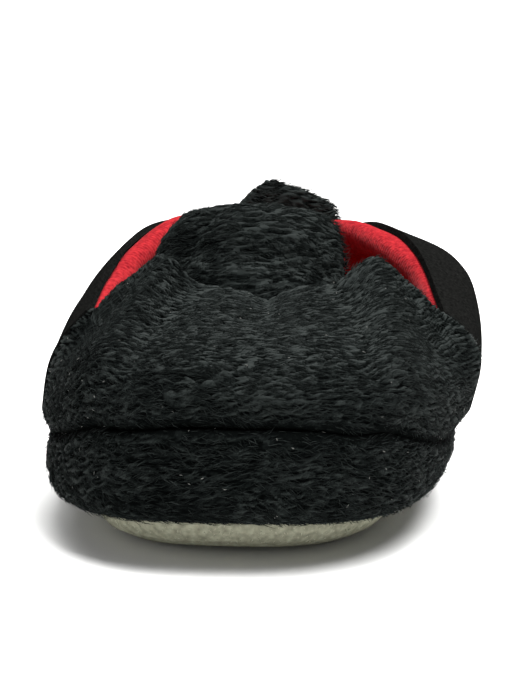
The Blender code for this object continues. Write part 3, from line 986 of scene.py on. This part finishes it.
def tab_grid(sink, rows, count):
    """Rings of the heel tab, drawn in by a sink."""
    place = np.linspace(0, 10, rows)
    climb, half_degrees, thick = (
        read(TAB_ROWS, "place", name, place) for name in ("climb", "half_degrees", "thickness_share")
    )
    across, through = pad_section(count, TAB_POWER)
    half = np.radians(half_degrees) - sink / HEEL_RADIUS
    taper = np.where(across[None] < 0, 1 - TAB_TAPER * ease(0.2, 1.0, climb)[:, None], 1.0)
    angle = math.pi - half[:, None] * across[None] * taper
    rise = np.broadcast_to(np.minimum(2 + climb, 2)[:, None], angle.shape)
    foot = smooth_wall(wrapped(angle), rise)
    _, along, out = wall_directions(wrapped(angle), rise)
    level = unit(out * np.array([1, 1, 0]))
    straight = np.broadcast_to(ease(0.0, 0.5, climb)[:, None], angle.shape)
    out = unit(out + (level - out) * column(straight))
    lift = UP * column(straight) + along * column(1 - straight)
    side = across[None]
    height = TAB_HEIGHT * (1 - TAB_SLOPE * (1 + side) / 2 - TAB_DROOP * ease(0.1, 1.0, side))
    foot = foot + lift * column(np.maximum(climb, 0)[:, None] * height)
    depth = np.maximum(thick * TAB_THICKNESS / 2 - sink, LEAST_DEPTH)
    seat = 2 * GAP + TAB_THICKNESS / 2 - 0.8 * sink
    return foot + out * column(seat + through[None] * depth[:, None])


def add_flap(name, grid, weight, shade, count, seed):
    """A padded flap in plush, its locks and hairs lying to the right as seen from the toe."""
    random = np.random.default_rng(seed)
    surface, height = raised(grid, True, seed)
    points, faces = loft(surface)
    ends = (0, 0)
    slots = relief_slots(points, faces, np.append(height, ends), np.append(shade, ends), seed)
    core = add_piece(f"{name}_core", points, faces, PLUSH, slots)
    roots, _, _, out, (relief,) = scatter(grid, True, count, random, weight, (height,))
    roots = roots + out * column(relief * LOCK_HEIGHT)
    right = np.array([1.0, 0.0, 0.0]) - out * column(out[:, 0])
    up = unit(np.cross(out, right))
    up = up * column(np.sign(up[:, 2] + 1e-9))
    flow = lay(unit(right), up, roots, random.normal(FLAP_DROOP, HAIR_STRAY, count), seed)
    length = random.uniform(*HAIR_LENGTH, count) * FLAP_HAIR_SHARE
    lift = np.radians(random.uniform(*HAIR_LIFT, count))
    width = random.uniform(*HAIR_HALF_WIDTH, count)
    hairs = add_hairs(f"{name}_hairs", roots, flow, out, length, lift, width, PLUSH, random)
    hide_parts(name)


tongue, tongue_place, tongue_through = tongue_grid(PILE_SINK, *TONGUE_GRID)
tongue_side = (tongue[..., 0] - TONGUE_CENTRE) / TONGUE_HALF_WIDTH
# Painted shade at the tongue's foot under the throat edge, in its -X hollow and under its fold; painted light
# over it all
tongue_foot = 1 - ease(5.2, 6.1, tongue_place)
tongue_fold = np.exp(-((tongue_place - TONGUE_FOLD_PLACE + 0.5 * tongue_side) / 0.30) ** 2)
tongue_fold = tongue_fold * (1 - ease(0.0, 0.6, tongue_side))
tongue_middle = ease(3.8, 4.8, tongue_place) * (1 - ease(6.6, 8.0, tongue_place))
tongue_hollow = np.exp(-((tongue_side + 0.80) / 0.22) ** 2) * tongue_middle
tongue_shade = TONGUE_FOOT_SHADE * tongue_foot + TONGUE_HOLLOW_SHADE * tongue_hollow
tongue_shade = tongue_shade + TONGUE_FOLD_SHADE * tongue_fold - TONGUE_LIGHT
tongue_shown = ease(2.6, 3.4, tongue_place) * ease(-0.75, -0.35, tongue_through) * (1 - 0.6 * tongue_foot)
add_flap("tongue", tongue, tongue_shown, tongue_shade, TONGUE_HAIRS, seed=21)
rear = np.nonzero(tongue_through[0] < -0.3)[0]
rear_outer = tongue_grid(PILE_SINK - LOCK_HEIGHT - GAP, *TONGUE_GRID)[0][TONGUE_REAR_ROWS, rear]
rear_inner = tongue_grid(PILE_SINK - TONGUE_LINING_SEAT, *TONGUE_GRID)[0][TONGUE_REAR_ROWS, rear]
tongue_lining = add_shell("tongue_lining", rear_outer, rear_inner, False, LINING)

tab = tab_grid(PILE_SINK, *TAB_GRID)
# Painted light: the heel tab's plush is made lighter all over
tab_shade = np.full(tab.shape[:2], -TAB_LIGHT)
add_flap("heel_tab", tab, np.ones(tab.shape[:2]), tab_shade, TAB_HAIRS, seed=22)


# Collar binding with its ribs
def binding_grid(rings, count):
    """Rings of the rib band, each rib a swell across its length."""
    start = NOTCH_ANGLE + BINDING_START
    share = np.linspace(0, 1, rings)
    angle = wrapped(start + (2 * math.pi - 2 * start) * share)
    from_end = np.minimum(share, 1 - share)
    size = BINDING_END_SIZE + (1 - BINDING_END_SIZE) * ease(0.0, 0.16, from_end)
    height = BINDING_HEIGHT * size
    thickness = BINDING_THICKNESS * (0.6 + 0.4 * size)
    rim = smooth_wall(angle, np.full(rings, 2.0))
    step = 0.03
    pace = np.linalg.norm(rim - smooth_wall(angle, np.full(rings, 2 - step)), axis=-1) / step
    stand = BINDING_STAND + (BINDING_HEEL_STAND - BINDING_STAND) * ease(1.5, 2.2, np.abs(angle))
    rise = 2 - (height / 2 - stand * size) / pace
    _, along, out = wall_directions(angle, rise)
    inner = WALL + 2 * GAP + thickness
    middle = smooth_wall(angle, rise) + out * column(vamp_swell(angle, rise))
    centre = middle - out * column((inner + BINDING_COVER) / 2)
    thickness = inner - BINDING_COVER
    run = np.concatenate([[0], np.cumsum(np.linalg.norm(np.diff(rim, axis=0), axis=-1))])
    rib = RIB_DEPTH * (0.5 + 0.5 * np.cos(run * 2 * math.pi / RIB_PITCH)) * ease(0, 0.05, from_end)
    across, through = pad_section(count, BINDING_POWER)
    wide = (thickness / 2 - RIB_DEPTH + rib)[:, None] * across[None]
    tall = (height / 2 - RIB_DEPTH * 0.7 + rib * 0.7)[:, None] * through[None]
    return centre[:, None] + out[:, None] * column(wide) + along[:, None] * column(tall)


binding = add_loft("rib_collar", binding_grid(*BINDING_GRID), RED_RIB)
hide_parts("collar_binding")


# Sole and insole
def sole_grid(columns):
    """Rings of the padded sole from its underside round its edge to the seat of the upper."""
    angle = np.linspace(-math.pi, math.pi, columns, endpoint=False)
    place = np.linspace(0, 4, 17)
    inset = np.interp(place, SOLE_EDGE_ROWS["place"], SOLE_EDGE_ROWS["inset"])
    height = np.interp(place, SOLE_EDGE_ROWS["place"], SOLE_EDGE_ROWS["height"])
    rings = []
    for draw, level in zip(inset, height):
        x, y = sole_outline(angle, draw)
        rings.append(np.stack([x, y, level + toe_lift(y)], axis=-1))
    x, y = sole_outline(angle, SEAT_INSET)
    rings.append(np.stack([x, y, SOLE_EDGE_HEIGHT + SEAT_RISE + toe_lift(y)], axis=-1))
    return np.stack(rings)


sole = sole_grid(SOLE_COLUMNS)
sole_core = add_loft("padded_sole", sole, SOLE_CLOTH)
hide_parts("sole")


def add_nap():
    """Short brushed nap round the side of the sole."""
    random = np.random.default_rng(31)
    height = sole[..., 2] - toe_lift(sole[..., 1])
    weight = ease(0.0006, 0.0012, height)
    weight[-2:] = 0
    roots, around, along, out, _ = scatter(sole, True, NAP_HAIRS, random, weight, ())
    flow = any_way(around, along, random)
    length = random.uniform(*NAP_LENGTH, NAP_HAIRS)
    lift = np.radians(random.uniform(*NAP_LIFT, NAP_HAIRS))
    width = random.uniform(*NAP_HALF_WIDTH, NAP_HAIRS)
    piece = add_hairs("sole_nap", roots, flow, out, length, lift, width, NAP, random)


add_nap()


def insole_grid(columns):
    """Rings of the footbed on the seat of the sole."""
    angle = np.linspace(-math.pi, math.pi, columns, endpoint=False)
    foot = smooth_wall(angle, np.zeros(columns))
    out = wall_directions(angle, np.zeros(columns))[2]
    seat = foot - out * WALL
    inward = unit(seat * np.array([-1.0, -0.6, 0.0]))
    rings = [seat + inward * row["inset"] + UP * (GAP + row["height"]) for row in FOOTBED_ROWS]
    return np.stack(rings)


insole = add_loft("footbed", insole_grid(FOOTBED_COLUMNS), LINING)
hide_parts("insole")


# Floor, light and camera
def add_floor():
    """A plain pale floor that runs up into a backdrop."""
    bend = np.linspace(0, BACKDROP_RADIUS, 24)
    depth = np.concatenate([[-FLOOR_REACH], BACKDROP_START + bend, [BACKDROP_START + BACKDROP_RADIUS]])
    rounding = BACKDROP_RADIUS - np.sqrt(np.maximum(BACKDROP_RADIUS ** 2 - bend ** 2, 0))
    climb = np.concatenate([[0.0], rounding, [BACKDROP_HEIGHT]])
    sides = [np.stack([np.full(len(depth), x), depth, climb], axis=-1) for x in (FLOOR_REACH, -FLOOR_REACH)]
    grid = np.stack(sides, axis=1)
    index = np.arange(grid.shape[0] * 2).reshape(-1, 2)
    mesh = bpy.data.meshes.new("floor")
    mesh.from_pydata(grid.reshape(-1, 3).tolist(), [], grid_faces(index, False)[:, ::-1].tolist())
    mesh.polygons.foreach_set("use_smooth", np.ones(len(mesh.polygons), dtype=bool))
    pale = plain_material("pale floor", (0.86, 0.86, 0.85), roughness=0.9, sheen=0.0, shine=0.1)
    mesh.materials.append(pale)
    floor = bpy.data.objects.new("floor", mesh)
    bpy.context.scene.collection.objects.link(floor)


def add_area_light(name, place, target, size, power):
    """A soft square light aimed at a point."""
    lamp = bpy.data.lights.new(name, "AREA")
    lamp.size = size
    lamp.energy = power
    light = bpy.data.objects.new(name, lamp)
    light.location = place
    light.rotation_mode = "QUATERNION"
    light.rotation_quaternion = (Vector(target) - Vector(place)).to_track_quat("-Z", "Y")
    bpy.context.scene.collection.objects.link(light)


def add_camera(azimuth, elevation, distance, target, lens):
    """Camera at an angle round the shoe, aimed at a point."""
    turn = math.radians(azimuth)
    tilt = math.radians(elevation)
    back = Vector((math.sin(turn) * math.cos(tilt), -math.cos(turn) * math.cos(tilt), math.sin(tilt)))
    data = bpy.data.cameras.new("camera")
    data.lens = lens
    data.sensor_width = 36
    data.clip_start = 0.01
    data.clip_end = 20
    camera = bpy.data.objects.new("camera", data)
    camera.location = Vector(target) + back * distance
    camera.rotation_mode = "QUATERNION"
    camera.rotation_quaternion = (-back).to_track_quat("-Z", "Y")
    bpy.context.scene.collection.objects.link(camera)
    bpy.context.scene.camera = camera


add_floor()
add_area_light("key", place=(0.30, -0.25, 0.85), target=SHOE_MIDDLE, size=0.5, power=11.0)
add_area_light("fill", place=(-0.60, -0.50, 0.20), target=SHOE_MIDDLE, size=0.8, power=1.3)
add_area_light("top", place=(0.05, 0.10, 0.90), target=SHOE_MIDDLE, size=0.6, power=10.0)
add_area_light("backdrop", place=(0.0, 1.6, 1.6), target=(0, 1.6, 0), size=2.4, power=60.0)
world = bpy.data.worlds.new("studio")
world.use_nodes = True
world.node_tree.nodes["Background"].inputs["Color"].default_value = (1, 1, 1, 1)
world.node_tree.nodes["Background"].inputs["Strength"].default_value = WORLD_STRENGTH
bpy.context.scene.world = world
bpy.context.scene.view_settings.view_transform = "Standard"
add_camera(azimuth=5.0, elevation=11.5, distance=0.480, target=(-0.0008, -0.006, 0.0265), lens=138)
